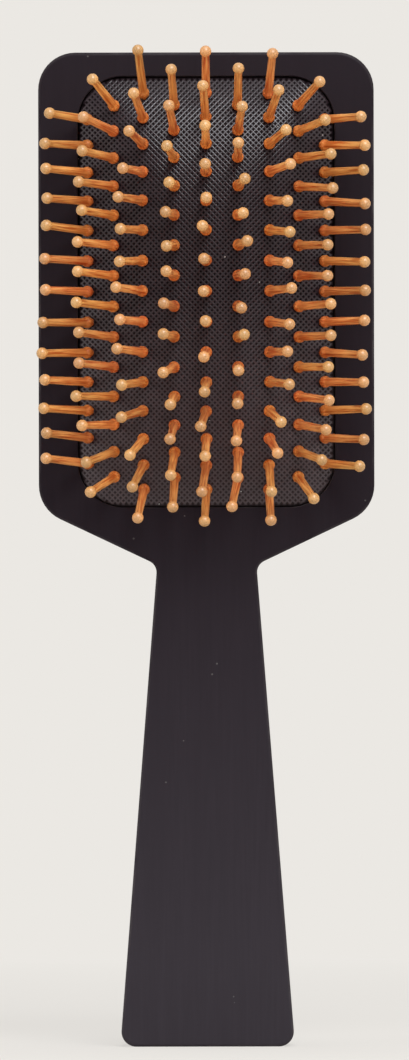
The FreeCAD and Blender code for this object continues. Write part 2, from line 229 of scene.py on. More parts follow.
class CushionForm(bpy.types.PropertyGroup):
    """Moulded rubber cushion, as it sits in the board's recess."""

    rim_drop: length("Rim drop", "How far the rim lies below the board's face", 0.0008)
    rubber_gap: length("Rubber gap", "Gap between the rubber and the recess mouth", 0.0002)
    flange_reach: length("Flange reach", "How far the flange reaches past the skirt", 0.0015)
    flange_thickness: length("Flange thickness", "Thickness of the flange in the groove", 0.0016)
    skirt_wall: length("Skirt wall", "Thickness of the skirt", 0.0014)
    corner_radius: length("Corner radius", "Corner radius of the recess mouth", 0.011)
    membrane: length("Membrane", "Thickness of the domed rubber", 0.0016)
    side_power: amount("Side power", "How flat the dome is across the brush", 2.2, 10.0)
    end_power: amount("End power", "How flat the dome is along the brush", 3.8, 10.0)
    corner_blend: amount("Corner blend", "How square the dome's height lines are", 3.0, 10.0)
    emboss_pitch: length("Emboss pitch", "Width of one diamond of the embossed lattice", 0.00134)
    emboss_depth: length("Emboss depth", "Depth of the pits between the lattice's ribs", 0.00025)
    plain_band: length("Plain band", "Smooth band along the rim", 0.0001)
    # The pits' dark colour is partly the rubber's own and partly painted shade in the pits; the ribs are
    # paler.
    rubber: colour("Rubber", "Rubber in the pits", (0.006, 0.0034, 0.0042))
    rib: colour("Rib", "Rubber on the lattice's ribs", (0.031, 0.0198, 0.0255))
    # Painted light: the paler colours that pits and ribs turn to towards the dome's lower end.
    painted_light_low_pits: colour("Worn rubber", "Rubber in the pits, towards the handle", (0.036, 0.0265, 0.028))
    painted_light_low_ribs: colour("Worn rib", "Rubber on the ribs, towards the handle", (0.0855, 0.0645, 0.071))
    roughness: amount("Roughness", "Roughness of the ribs, which are rubbed smooth", 0.3)
    pit_roughness: amount("Pit roughness", "Roughness of the rubber in the pits", 0.7)
    gloss: amount("Gloss", "Specular level of the rubber", 0.2)
    pit_gloss: colour("Pit gloss", "Share of the gloss that is left in the pits", (0.1, 0.1, 0.1))
    dust: colour("Dust", "Colour of the dust", (0.45, 0.44, 0.43))
    dust_cover: amount("Dust cover", "How much of the rubber a speck of dust hides", 0.8)
    dust_spacing: length("Dust spacing", "Distance between places where a speck may lie", 0.004)
    dust_size: length("Dust size", "Radius of a speck", 0.0002)
    dust_share: amount("Dust share", "Share of those places that hold a speck", 0.35)
    press: amount("Press", "Share of its height that the pressed dome keeps", 0.5)


class PinForm(bpy.types.PropertyGroup):
    """Turned wooden pins and their places on the cushion."""

    edge_inset: length("Edge inset", "Recess side to the outermost pins", 0.003)
    end_inset: length("End inset", "Recess end to the outermost pins", 0.0048)
    spacing_arc: angle("Spacing arc", "Angle whose sines set the spacing", 42.0)
    reach: length("Reach", "Cushion surface to the middle of the ball tip", 0.017)
    ball: length("Ball", "Diameter of the ball tip", 0.0028)
    shaft_tip: length("Shaft tip", "Diameter of the shaft at the ball", 0.0018)
    shaft_base: length("Shaft base", "Diameter of the shaft at the bead", 0.0021)
    bead_seat: length("Bead seat", "Diameter of the bead where it sits on the rubber", 0.0021)
    bead_length: length("Bead length", "Height of the bead", 0.0021)
    bead_round: length("Bead round", "Radius of the bead's side", 0.0016)
    neck: length("Neck", "Diameter of the pin in the rubber", 0.0019)
    foot: length("Foot", "Diameter of the barb behind the rubber", 0.0029)
    foot_tip: length("Foot tip", "Diameter of the barb's blunt end", 0.0015)
    foot_length: length("Foot length", "Length of the barb", 0.002)
    seat_gap: length("Seat gap", "Gap between the rubber and the bead and barb", 0.0001)
    lean: angle("Lean", "How far single pins lean at most to either side", 2.6)
    side_power: amount("Side power", "Power across the brush that the pins' lean follows", 2.4, 10.0)
    upper_power: amount("Upper power", "Power along the brush that the upper pins' lean follows", 4.75, 10.0)
    lower_power: amount("Lower power", "Power along the brush that the lower pins' lean follows", 3.1, 10.0)
    upper_blend: amount("Upper blend", "Corner blend that the upper pins' lean follows", 1.7, 10.0)
    lower_blend: amount("Lower blend", "Corner blend that the lower pins' lean follows", 2.1, 10.0)
    upper_hold: amount("Upper hold", "How straight to the side the upper edge pins hold", 1.35, 3.0)
    lower_hold: amount("Lower hold", "How straight to the side the lower edge pins hold", 2.0, 3.0)
    tip_shift: signed_length("Tip shift", "How far all the tips stand to the right", -0.00056)
    tip_turn: angle("Tip turn", "How far the field of tips is turned clockwise on the cushion", 0.68)
    sides: IntProperty(name="Sides", description="Facets round a pin", default=14, min=6, max=48)
    heart: colour("Heart wood", "Wood at the foot of a pin", (0.68, 0.2, 0.042))
    wood: colour("Wood", "Wood of the shafts", (0.97, 0.485, 0.148))
    streak: colour("Streak", "Dark streaks in the wood of the shafts", (0.6, 0.112, 0.013))
    streaks: amount("Streaks", "How strongly the dark streaks show", 0.95)
    tip: colour("Tip wood", "Pale wood of the ball tips", (0.67, 0.336, 0.121))
    end_grain: colour("End grain", "Grey end grain at the middle of the ball tips", (0.62, 0.33, 0.135))
    roughness: amount("Roughness", "Roughness of the wood", 0.42)
    gloss: amount("Gloss", "Specular level of the wood", 0.36)
    varnish: amount("Varnish", "Strength of the clear varnish", 0.14)
    varnish_roughness: amount("Varnish roughness", "Roughness of the clear varnish", 0.3)
    ring_width: length("Ring width", "Width of the rings in the end grain", 0.0006)
    fibre_width: length("Fibre width", "Width of the wood's fibres", 0.0004)
    fibre_stretch: amount("Fibre stretch", "Length of a fibre over its width", 22.0, 200.0)
    relief: amount("Relief", "How strongly the fibres stand out", 0.35)


class StageSetup(bpy.types.PropertyGroup):
    """Pale floor, soft studio lamps and the camera."""

    backdrop: colour("Backdrop", "Colour of the floor and the background", (0.831, 0.807, 0.769))
    floor: colour("Floor", "Colour of the floor where it takes the shadow", (0.87, 0.845, 0.806))
    bounce: colour("Bounce", "Colour of the floor in the light that it throws back", (0.76, 0.738, 0.703))
    shadow: amount("Shadow", "Strength of the shadow on the floor", 0.3)
    ambient: amount("Ambient", "Light that comes from all round", 0.3)
    key_power: watts("Key", "Power of the lamp above", 11.5)
    left_power: watts("Left", "Power of the lamp on the left", 4.6)
    right_power: watts("Right", "Power of the lamp on the right", 3.2)
    top_power: watts("Top", "Power of the lamp over the head", 2.5)
    sheen_power: watts("Sheen", "Power of the lamp that only shows in glossy surfaces", 22.0)
    camera_distance: length("Camera distance", "Camera to the board's front face", 3.0)
    camera_height: length("Camera height", "Camera over the floor", 0.1247)
    camera_side: signed_length("Camera side", "Camera to the right of the brush", -0.00054)
    camera_roll: angle("Camera roll", "Roll of the camera, clockwise", 0.11)
    frame_height: length("Frame height", "Height that the picture covers at the board's front face", 0.2558)


class BrushSettings(bpy.types.PropertyGroup):
    """All settings of the paddle brush."""

    board: PointerProperty(type=BoardFinish)
    cushion: PointerProperty(type=CushionForm)
    pins: PointerProperty(type=PinForm)
    stage: PointerProperty(type=StageSetup)


def add_piece(name, points, faces, material, smooth_below):
    """Mesh object at the origin from an array of points and a list of faces, with creases kept sharp."""
    mesh = bpy.data.meshes.new(name)
    mesh.from_pydata(points.reshape(-1, 3).tolist(), [], faces)
    mesh.polygons.foreach_set("use_smooth", np.ones(len(mesh.polygons), dtype=bool))
    mesh.set_sharp_from_angle(angle=smooth_below)
    mesh.materials.append(material)
    mesh.update()
    piece = bpy.data.objects.new(name, mesh)
    bpy.context.scene.collection.objects.link(piece)
    return piece


def add_values(piece, name, values):
    """Keeps one number, or one vector, per point of a piece for its material."""
    kind, field = ("FLOAT_VECTOR", "vector") if values.ndim == 2 else ("FLOAT", "value")
    layer = piece.data.attributes.new(name, kind, "POINT")
    layer.data.foreach_set(field, values.astype(np.float32).ravel())


def ring_faces(rings, closed_profile=False):
    """Quads between rows of an array of point numbers, each row a closed ring."""
    following = np.roll(rings, -1, axis=1)
    if closed_profile:
        below, below_following = np.roll(rings, -1, axis=0), np.roll(following, -1, axis=0)
    else:
        rings, below = rings[:-1], rings[1:]
        following, below_following = following[:-1], following[1:]
    return np.stack([rings, below, below_following, following], axis=-1).reshape(-1, 4)


def fan_faces(ring, pole):
    """Triangles from a closed ring of point numbers to one pole."""
    following = np.roll(ring, -1)
    return np.stack([ring, np.full_like(ring, pole), following], axis=-1)


def mouth(form):
    """Width and length of the recess mouth, from the cushion's box: its flange reaches past it all round."""
    size = np.array([PAD_HIGH.x - PAD_LOW.x, PAD_HIGH.z - PAD_LOW.z])
    return size - 2 * (form.flange_reach - form.rubber_gap)


def rim_level(form):
    """Y of the plane that the dome rises from."""
    return BOARD_LOW.y + form.rim_drop


def dome(form, across, along, powers, blend):
    """Height of the dome over its rim, and its slopes across and along the brush.

    The height is crown * (1 - r), with r = (a ** (p * k) + b ** (q * k)) ** (1 / k): a and b are the
    distances across and along as shares of the way to the mouth, p and q their powers and k the corner blend.
    """
    crown = rim_level(form) - PAD_LOW.y
    reach = mouth(form) / 2
    shares = np.abs(across) / reach[0], np.abs(along) / reach[1]
    terms = shares[0] ** powers[0], shares[1] ** powers[1]
    radius = np.maximum((terms[0] ** blend + terms[1] ** blend) ** (1 / blend), TINY)
    slopes = [
        -crown * power / end * share ** (power - 1) * np.sign(place) * (term / radius) ** (blend - 1)
        for place, end, power, share, term in zip((across, along), reach, powers, shares, terms)
    ]
    return crown * (1 - radius), *slopes


def dome_shape(form):
    """Powers of the dome across and along the brush, and its corner blend."""
    return (form.side_power, form.end_power), form.corner_blend


def unit(vectors):
    """Vectors of length one."""
    return vectors / np.linalg.norm(vectors, axis=-1, keepdims=True)


def on_dome(form, across, along):
    """Points on the dome's face and the unit vectors that stand square to it."""
    height, slope_across, slope_along = dome(form, across, along, *dome_shape(form))
    points = np.stack([across, rim_level(form) - height, PAD_CENTRE + along], axis=-1)
    return points, unit(np.stack([-slope_across, -np.ones_like(across), -slope_along], axis=-1))


def to_outline(flat, half, radius):
    """Signed distance from a rounded rectangle, negative inside, and the nearest place on it."""
    core = half - radius
    over = np.maximum(np.abs(flat) - core, 0.0)
    reach = np.linalg.norm(over, axis=-1)
    deep = np.minimum((np.abs(flat) - core).max(axis=-1), 0.0)
    towards = over / np.maximum(reach, TINY)[..., None]
    nearest = np.sign(flat) * (np.minimum(np.abs(flat), core) + towards * radius)
    return reach + deep - radius, nearest


def lattice_triangles(numbers, even):
    """Two triangles for each cell of a grid, split so that the ribs run from even point to even point."""
    a, b = numbers[:-1, :-1], numbers[1:, :-1]
    c, d = numbers[1:, 1:], numbers[:-1, 1:]
    along_ac = even[:-1, :-1]
    first = np.where(along_ac[..., None], np.stack([a, b, c], axis=-1), np.stack([a, b, d], axis=-1))
    second = np.where(along_ac[..., None], np.stack([a, c, d], axis=-1), np.stack([b, c, d], axis=-1))
    return np.stack([first, second], axis=-2)


def rubber_outline(form):
    """Half sizes and corner radius of the rubber where it fills the recess mouth."""
    return mouth(form) / 2 - form.rubber_gap, form.corner_radius - form.rubber_gap


def embossed_face(form):
    """Points of the embossed dome, their places on the plan and rib heights, its triangles and its rim.

    The face is a square grid of half the emboss pitch, laid over the dome's formula. Every second point is
    pushed in along the normal, which leaves ribs that cross diagonally. Grid points near the outline or past
    it are moved onto it, and the rim is the numbers of these points, in order round the middle.
    """
    half, radius = rubber_outline(form)
    cells = np.round(half / (form.emboss_pitch / 2)).astype(int)
    step = half / cells
    i, j = np.meshgrid(*(np.arange(-count, count + 1) for count in cells), indexing="ij")
    plan = np.stack([i, j], axis=-1) * step
    distance, nearest = to_outline(plan, half, radius)
    at_rim = distance > -step.min() / RIM_PART
    plan = np.where(at_rim[..., None], nearest, plan)
    even = (i + j) % 2 == 0
    fade = np.clip((-distance - form.plain_band) / form.plain_band, 0.0, 1.0)
    points, square = on_dome(form, plan[..., 0], plan[..., 1])
    points = points - square * (form.emboss_depth * fade * ~even)[..., None]

    triangles = lattice_triangles(np.arange(i.size).reshape(i.shape), even)
    inside = ~at_rim
    kept = inside[:-1, :-1] | inside[1:, :-1] | inside[1:, 1:] | inside[:-1, 1:]
    used, triangles = np.unique(triangles[kept].reshape(-1, 3), return_inverse=True)
    plan = plan.reshape(-1, 2)[used]
    rim = np.flatnonzero(at_rim.ravel()[used])
    rim = rim[np.argsort(np.arctan2(plan[rim, 1], plan[rim, 0]))]
    return points.reshape(-1, 3)[used], plan, (fade * even).ravel()[used], triangles.reshape(-1, 3), rim


def underside(form, outline):
    """Rings of points behind the membrane, from the outline in to the middle, and the pole that closes them.

    A point lies behind the dome's face by membrane * sqrt(1 + slope across ** 2 + slope along ** 2).
    """
    shares = np.concatenate([[1.0], np.linspace(*UNDERSIDE_SHARES, UNDERSIDE_RINGS)])
    plan = outline * shares[:, None, None]
    height, slope_across, slope_along = dome(form, plan[..., 0], plan[..., 1], *dome_shape(form))
    behind = form.membrane * np.sqrt(1 + slope_across ** 2 + slope_along ** 2)
    rings = np.stack([plan[..., 0], rim_level(form) - height + behind, PAD_CENTRE + plan[..., 1]], axis=-1)
    return rings, np.array([[0.0, PAD_LOW.y + form.membrane, PAD_CENTRE]])


def cushion_surface(form):
    """Points, faces and rib heights of the embossed dome, closed by its plain underside."""
    face, plan, ribs, triangles, rim = embossed_face(form)
    under, pole = underside(form, plan[rim])
    points = np.concatenate([face, under.reshape(-1, 3), pole])
    rings = np.concatenate([rim[None], len(face) + np.arange(under[..., 0].size).reshape(under.shape[:2])])
    faces = triangles.tolist() + ring_faces(rings).tolist() + fan_faces(rings[-1], len(points) - 1).tolist()
    return points, faces, np.concatenate([ribs, np.zeros(len(points) - len(ribs))])


def quarter_turns(count):
    """Angles of four quarter circles, one after the other, with `count` angles each."""
    turn = np.linspace(0.0, math.pi / 2, count)
    return (turn + np.arange(4)[:, None] * math.pi / 2).ravel()


def rounded_ring(half, radius, offset, per_corner):
    """Closed ring of places on a rounded rectangle, moved outwards square to it by `offset`.

    Each corner is a quarter circle of radius + offset round the corner's own middle, half - radius out.
    """
    turn = quarter_turns(per_corner)
    signs = np.repeat(np.array([[1, 1], [-1, 1], [-1, -1], [1, -1]]), per_corner, axis=0)
    outwards = np.stack([np.cos(turn), np.sin(turn)], axis=-1)
    return signs * (half - radius) + outwards * (radius + offset)


def flange_surface(form):
    """Points and faces of the flange: a flat band with rounded edges, carried round the recess mouth.

    Its section is four quarter circles. Each of their points gives one ring: its distance out from the
    rubber's outline is the ring's offset, and its level is the ring's Y.
    """
    half, radius = rubber_outline(form)
    edge = form.flange_thickness * FLANGE_ROUND
    outer, inner = form.flange_reach - edge, edge - form.skirt_wall
    back = PAD_HIGH.y - edge
    front = PAD_HIGH.y - form.flange_thickness + edge
    turn = quarter_turns(FLANGE_EDGE_POINTS)
    middles = np.array([[outer, back], [inner, back], [inner, front], [outer, front]])
    profile = np.repeat(middles, FLANGE_EDGE_POINTS, axis=0)
    profile = profile + edge * np.stack([np.cos(turn), np.sin(turn)], axis=-1)
    plan = np.stack([rounded_ring(half, radius, offset, FLANGE_CORNER_POINTS) for offset in profile[:, 0]])
    levels = np.broadcast_to(profile[:, 1, None], plan.shape[:2])
    points = np.stack([plan[..., 0], levels, PAD_CENTRE + plan[..., 1]], axis=-1)
    numbers = np.arange(levels.size).reshape(levels.shape)
    return points, ring_faces(numbers, closed_profile=True).tolist()


def arc(centre, radius, start, stop, count):
    """Points on a circle from one angle to another, as pairs of distance from the axis and height."""
    turn = np.linspace(start, stop, count)
    return np.array(centre) + radius * np.stack([np.cos(turn), np.sin(turn)], axis=-1)


def bead_side(seat, top, radius, count):
    """Arc of a given radius that bulges outwards from the bead's seat to its top.

    Its centre lies inwards from the chord's middle by sqrt(radius ** 2 - (half the chord) ** 2).
    """
    seat, top = np.array(seat), np.array(top)
    chord = top - seat
    half = np.linalg.norm(chord) / 2
    outwards = np.array([chord[1], -chord[0]]) / (2 * half)
    centre = (seat + top) / 2 - outwards * math.sqrt(radius ** 2 - half ** 2)
    start, stop = (math.atan2(*(end - centre)[::-1]) for end in (seat, top))
    return arc(centre, radius, start, stop, count)


def pin_profile(cushion, pins):
    """Half section of a pin as pairs of radius and height: barb, neck, bead, tapered shaft and ball."""
    through = cushion.membrane + pins.seat_gap
    foot = -through - pins.foot_length
    bead_top = pins.seat_gap + pins.bead_length
    ball, tip = pins.ball / 2, pins.shaft_tip / 2
    barb = [(pins.foot_tip / 2, foot), (pins.foot / 2, -through), (pins.neck / 2, -through)]
    neck = [(pins.neck / 2, pins.seat_gap)]
    seat, top = (pins.bead_seat / 2, pins.seat_gap), (pins.shaft_base / 2, bead_top)
    bead = bead_side(seat, top, pins.bead_round, BEAD_POINTS)
    ball_start = -math.acos(tip / ball)
    shaft_end = pins.reach + ball * math.sin(ball_start)
    shaft = [
        (pins.shaft_base / 2 * (1 - share) + tip * share, bead_top * (1 - share) + shaft_end * share)
        for share in SHAFT_RINGS
    ]
    crown = arc((0.0, pins.reach), ball, ball_start, math.pi / 2, BALL_POINTS)[:-1]
    return np.concatenate([barb, neck, bead, shaft, crown])


def lathe_faces(rings, sides, copies):
    """Faces of closed turned shapes: quads between their rings and fans at the two poles."""
    numbers = np.arange(rings * sides).reshape(rings, sides)
    quads = ring_faces(numbers[::-1])
    foot, tip = rings * sides, rings * sides + 1
    fans = np.concatenate([fan_faces(numbers[0], foot), fan_faces(numbers[-1], tip)[:, ::-1]])
    step = (rings * sides + 2) * np.arange(copies)[:, None, None]
    return (quads + step).reshape(-1, 4).tolist() + (fans + step).reshape(-1, 3).tolist()


def pin_places(cushion, pins):
    """Where the pins of each node stand: points on the dome.

    Column c stands at x = edge * sin(arc * c / last) / sin(arc), and row n stands along the cushion by the
    same rule. Odd columns take the odd rows, and mirror images of a pin share its node.
    """
    edge, end = mouth(cushion) / 2 - (pins.edge_inset, pins.end_inset)
    places = {}
    for column, word in enumerate(COLUMN_NAMES):
        across = edge * math.sin(pins.spacing_arc * column / LAST_COLUMN) / math.sin(pins.spacing_arc)
        for row in range(column % 2, LAST_ROW + 1, 2):
            node = f"{word}_pins_row_{row:02d}"
            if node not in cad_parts:
                continue
            along = end * math.sin(pins.spacing_arc * row / LAST_ROW) / math.sin(pins.spacing_arc)
            sides = across * np.array([1, -1] if column else [1])
            ends = along * np.array([1, -1] if row else [1])
            grid = np.meshgrid(sides, ends, indexing="ij")
            places[node], _ = on_dome(cushion, grid[0].ravel(), grid[1].ravel())
    return places


def pin_axes(cushion, pins, points, draw):
    """Directions of the pins: square to a dome that bulges a little otherwise at each end, and swayed.

    Towards the sides, the lean along the brush is held back by 1 - hold * (share of the way) ** HOLD_POWER.
    """
    across, along = points[:, 0], points[:, 2] - PAD_CENTRE
    upper = along > 0
    powers = pins.side_power, np.where(upper, pins.upper_power, pins.lower_power)
    blend = np.where(upper, pins.upper_blend, pins.lower_blend)
    hold = np.where(upper, pins.upper_hold, pins.lower_hold)
    _, slope_across, slope_along = dome(cushion, across, along, powers, blend)
    slope_along = slope_along * (1 - hold * np.abs(2 * across / mouth(cushion)[0]) ** HOLD_POWER)
    square = unit(np.stack([-slope_across, -np.ones_like(across), -slope_along], axis=-1))
    common = np.stack([pins.tip_shift + pins.tip_turn * along, 0 * along, -pins.tip_turn * across], axis=-1)
    return unit(square + common / pins.reach + draw.uniform(-pins.lean, pins.lean, size=square.shape))


def turned_pins(cushion, pins, points, draw):
    """Points of a group of pins, with each point's place in its own pin, and the pins' tones and seeds.

    A pin's section turns about its axis: point = stand + axis * height + radius * (side * cos + other * sin).
    """
    profile = pin_profile(cushion, pins)
    axis = pin_axes(cushion, pins, points, draw)
    side = unit(np.cross(axis, (0.0, 0.0, 1.0)))
    other = np.cross(axis, side)
    turn = np.linspace(0.0, 2 * math.pi, pins.sides, endpoint=False)
    radius, height = profile[:, 0, None], np.broadcast_to(profile[:, 1, None], (len(profile), pins.sides))
    local = np.stack([radius * np.cos(turn), radius * np.sin(turn), height], axis=-1).reshape(-1, 3)
    poles = np.array([[0.0, 0.0, profile[0, 1]], [0.0, 0.0, pins.reach + pins.ball / 2]])
    local = np.concatenate([local, poles])
    frames = np.stack([side, other, axis], axis=1)
    placed = points[:, None] + local @ frames
    count = len(points)
    tones, seeds = draw.uniform(size=(2, count))
    return {
        "points": placed,
        "faces": lathe_faces(len(profile), pins.sides, count),
        "place": np.tile(local, (count, 1)),
        "tone": np.repeat(tones, len(local)),
        "seed": np.repeat(seeds, len(local)),
    }


def add_node(tree, kind, inputs=None, **options):
    """Adds a shader node, sets its options and fills its sockets with values or with links."""
    node = tree.nodes.new(kind)
    for name, value in options.items():
        setattr(node, name, value)
    for name, value in (inputs or {}).items():
        if isinstance(value, bpy.types.NodeSocket):
            tree.links.new(value, node.inputs[name])
        else:
            node.inputs[name].default_value = value
    return node


def sums(tree, operation, *values):
    """Math node on numbers and sockets."""
    return add_node(tree, "ShaderNodeMath", dict(enumerate(values)), operation=operation).outputs[0]


def vector_sums(tree, operation, *values):
    """Vector math node on vectors and sockets."""
    return add_node(tree, "ShaderNodeVectorMath", dict(enumerate(values)), operation=operation).outputs[0]


def noise(tree, place, scale, detail):
    """Noise texture over places."""
    inputs = {"Vector": place, "Scale": scale, "Detail": detail}
    return add_node(tree, "ShaderNodeTexNoise", inputs).outputs[0]


def spread(tree, value, low, high, to_low=0.0, to_high=1.0):
    """Carries one range of a value over to another, held at its ends."""
    inputs = {"Value": value, "From Min": low, "From Max": high, "To Min": to_low, "To Max": to_high}
    return add_node(tree, "ShaderNodeMapRange", inputs).outputs[0]


def vary(tree, mask, low, high):
    """Value between two ends, as far along as a mask tells."""
    return spread(tree, mask, 0.0, 1.0, low, high)


def mix_colours(tree, share, first, second, blend_type="MIX"):
    """Colour between two colours."""
    inputs = {0: share, 6: first, 7: second}
    return add_node(tree, "ShaderNodeMix", inputs, data_type="RGBA", blend_type=blend_type).outputs[2]


def shade_colour(tree, colour_in, shade):
    """Colour made darker or lighter by a factor."""
    grey = add_node(tree, "ShaderNodeCombineColor", {0: shade, 1: shade, 2: shade}).outputs[0]
    return mix_colours(tree, 1.0, colour_in, grey, "MULTIPLY")


def new_group(name, inputs, outputs):
    """Empty shader group with named sockets, and its two end nodes."""
    group = bpy.data.node_groups.new(name, "ShaderNodeTree")
    for in_out, sockets in (("INPUT", inputs), ("OUTPUT", outputs)):
        for label, kind in sockets.items():
            group.interface.new_socket(name=label, in_out=in_out, socket_type=f"NodeSocket{kind}")
    return group, group.nodes.new("NodeGroupInput").outputs, group.nodes.new("NodeGroupOutput").inputs


def fibres_group():
    """Wood fibres that run along Z: a mask of fine streaks, and one of broad bands."""
    name = "wood_fibres"
    if name in bpy.data.node_groups:
        return bpy.data.node_groups[name]
    inputs = {"Place": "Vector", "Width": "Float", "Stretch": "Float"}
    group, given, put = new_group(name, inputs, {"Streaks": "Float", "Bands": "Float"})
    fine = sums(group, "DIVIDE", 1.0, given["Width"])
    drawn = sums(group, "DIVIDE", fine, given["Stretch"])
    scale = add_node(group, "ShaderNodeCombineXYZ", {"X": fine, "Y": fine, "Z": drawn}).outputs[0]
    place = vector_sums(group, "MULTIPLY", given["Place"], scale)
    group.links.new(spread(group, noise(group, place, *STREAK_NOISE), *NOISE_MASK), put["Streaks"])
    group.links.new(spread(group, noise(group, place, *BAND_NOISE), *NOISE_MASK), put["Bands"])
    return group


def dust_group():
    """Single pale specks, strewn at random: a mask that is 1 on a speck."""
    name = "dust_specks"
    if name in bpy.data.node_groups:
        return bpy.data.node_groups[name]
    inputs = {"Place": "Vector", "Spacing": "Float", "Speck": "Float", "Share": "Float"}
    group, given, put = new_group(name, inputs, {"Dust": "Float"})
    scale = sums(group, "DIVIDE", 1.0, given["Spacing"])
    cells = add_node(group, "ShaderNodeTexVoronoi", {"Vector": given["Place"], "Scale": scale})
    draw = add_node(group, "ShaderNodeSeparateColor", {"Color": cells.outputs["Color"]}).outputs[0]
    chosen = sums(group, "LESS_THAN", draw, given["Share"])
    speck = sums(group, "DIVIDE", given["Speck"], given["Spacing"])
    near = sums(group, "LESS_THAN", cells.outputs["Distance"], speck)
    group.links.new(sums(group, "MULTIPLY", chosen, near), put["Dust"])
    return group


def use_group(tree, group, **inputs):
    """Places a shader group in a material and returns its outputs."""
    return add_node(tree, "ShaderNodeGroup", inputs, node_tree=group).outputs


def wood_fibres(tree, place, finish):
    """Masks of the wood's fibres: Streaks and Bands."""
    return use_group(
        tree, fibres_group(), Place=place, Width=finish.fibre_width, Stretch=finish.fibre_stretch
    )


def add_dust(tree, base, place, finish):
    """Colour of a surface with pale specks of dust on it."""
    specks = use_group(
        tree, dust_group(), Place=place,
        Spacing=finish.dust_spacing, Speck=finish.dust_size, Share=finish.dust_share,
    )["Dust"]
    return mix_colours(tree, sums(tree, "MULTIPLY", specks, finish.dust_cover), base, finish.dust)


def fresh_tree(owner):
    """Empty node tree of a material or of the world."""
    owner.use_nodes = True
    owner.node_tree.nodes.clear()
    return owner.node_tree


def new_material(name):
    """New material and its empty node tree."""
    material = bpy.data.materials.new(name)
    return material, fresh_tree(material)


def add_surface(tree, inputs):
    """Principled shader with its sockets filled, as the material's surface."""
    shader = add_node(tree, "ShaderNodeBsdfPrincipled", inputs).outputs[0]
    add_node(tree, "ShaderNodeOutputMaterial", {"Surface": shader})


def bump(tree, height, distance, strength):
    """Normal that a height map gives."""
    inputs = {"Height": height, "Distance": distance, "Strength": strength}
    return add_node(tree, "ShaderNodeBump", inputs).outputs[0]


def stained_wood(finish):
    """Matte black stain: painted light towards the handle, faint fibres, a little dust, edges paler by
    wearing and painted highlight.

    On a rounded edge the normal turns from Y to the side: s * (1 - s) peaks there, with s = normal.y ** 2.
    """
    material, tree = new_material("black_stained_wood")
    coordinates = add_node(tree, "ShaderNodeTexCoord").outputs
    place = coordinates["Object"]
    height = add_node(tree, "ShaderNodeSeparateXYZ", {0: place}).outputs["Z"]
    # Painted light: the stain turns lighter towards the handle's end.
    fade = spread(tree, height, SHELF + finish.painted_light_top, SHELF + finish.painted_light_bottom)
    wood = mix_colours(tree, fade, finish.stain, finish.painted_light_stain)
    fibres = wood_fibres(tree, place, finish)
    streaks = sums(tree, "MULTIPLY", fibres["Streaks"], vary(tree, fibres["Bands"], *BAND_STREAKS))
    wood = shade_colour(tree, wood, vary(tree, streaks, 1.0 - finish.grain / 2, 1.0 + finish.grain))

    # Rounded edges turn paler, partly from wearing of the stain and partly as a painted highlight.
    facing = add_node(tree, "ShaderNodeSeparateXYZ", {0: coordinates["Normal"]}).outputs["Y"]
    squared = sums(tree, "MULTIPLY", facing, facing)
    round_edge = sums(tree, "MULTIPLY", squared, sums(tree, "SUBTRACT", 1.0, squared))
    patches = spread(tree, noise(tree, place, *PATCH_NOISE), *PATCH_MASK)
    rubbed_and_highlit = sums(tree, "MULTIPLY", spread(tree, round_edge, *RUBBED_AND_HIGHLIT_MASK), patches)
    wood = mix_colours(tree, sums(tree, "MULTIPLY", rubbed_and_highlit, finish.wear_and_highlight), wood, finish.worn_and_highlit_edge)

    rough = vary(tree, fibres["Bands"], *(finish.roughness + step for step in BOARD_ROUGHNESS_STEPS))
    add_surface(tree, {
        "Base Color": add_dust(tree, wood, place, finish),
        "Roughness": sums(tree, "SUBTRACT", rough, sums(tree, "MULTIPLY", rubbed_and_highlit, RUBBED_SMOOTHING)),
        "Specular IOR Level": finish.gloss,
        "Normal": bump(tree, streaks, FIBRE_DEPTH, finish.relief),
    })
    return material


def moulded_rubber(form):
    """Black rubber: pits dark partly as painted shade, paler ribs, painted light towards the handle, fine
    mottle, a little dust.
    """
    material, tree = new_material("black_rubber")
    place = add_node(tree, "ShaderNodeTexCoord").outputs["Object"]
    ribs = add_node(tree, "ShaderNodeAttribute", attribute_name="rib").outputs["Fac"]
    raised = spread(tree, ribs, *RIB_MASK)
    mottle = spread(tree, noise(tree, place, *MOTTLE_NOISE), *NOISE_MASK, *MOTTLE_SHADE)
    height = add_node(tree, "ShaderNodeSeparateXYZ", {0: place}).outputs["Z"]
    # Painted light: pits and ribs turn paler from the dome's middle to its lower end.
    painted_light_share = spread(tree, height, PAD_CENTRE, PAD_LOW.z)
    pit_with_painted_shade = mix_colours(tree, painted_light_share, form.rubber, form.painted_light_low_pits)
    rib = mix_colours(tree, painted_light_share, form.rib, form.painted_light_low_ribs)
    # Pits are dark partly in their own colour and partly as painted shade; ribs are paler.
    rubber = mix_colours(tree, sums(tree, "MULTIPLY", raised, mottle), pit_with_painted_shade, rib)
    rounded = add_node(tree, "ShaderNodeMapRange", {"Value": ribs}, interpolation_type="SMOOTHSTEP")
    add_surface(tree, {
        "Base Color": add_dust(tree, rubber, place, form),
        "Roughness": vary(tree, raised, form.pit_roughness, form.roughness),
        "Specular IOR Level": form.gloss,
        "Specular Tint": mix_colours(tree, raised, form.pit_gloss, (*WHITE, 1.0)),
        "Normal": bump(tree, rounded.outputs[0], form.emboss_depth * EMBOSS_RELIEF, 1.0),
    })
    return material


def shifted_rings(tree, place, seed, ball):
    """Places measured from a heart of the wood that lies beside the pin's axis, at random from pin to pin."""
    aside = sums(tree, "MULTIPLY", vary(tree, seed, -1.0, 1.0), ball)
    offset = add_node(tree, "ShaderNodeCombineXYZ", {"X": aside, "Y": ball / 2}).outputs[0]
    return vector_sums(tree, "ADD", place, offset)


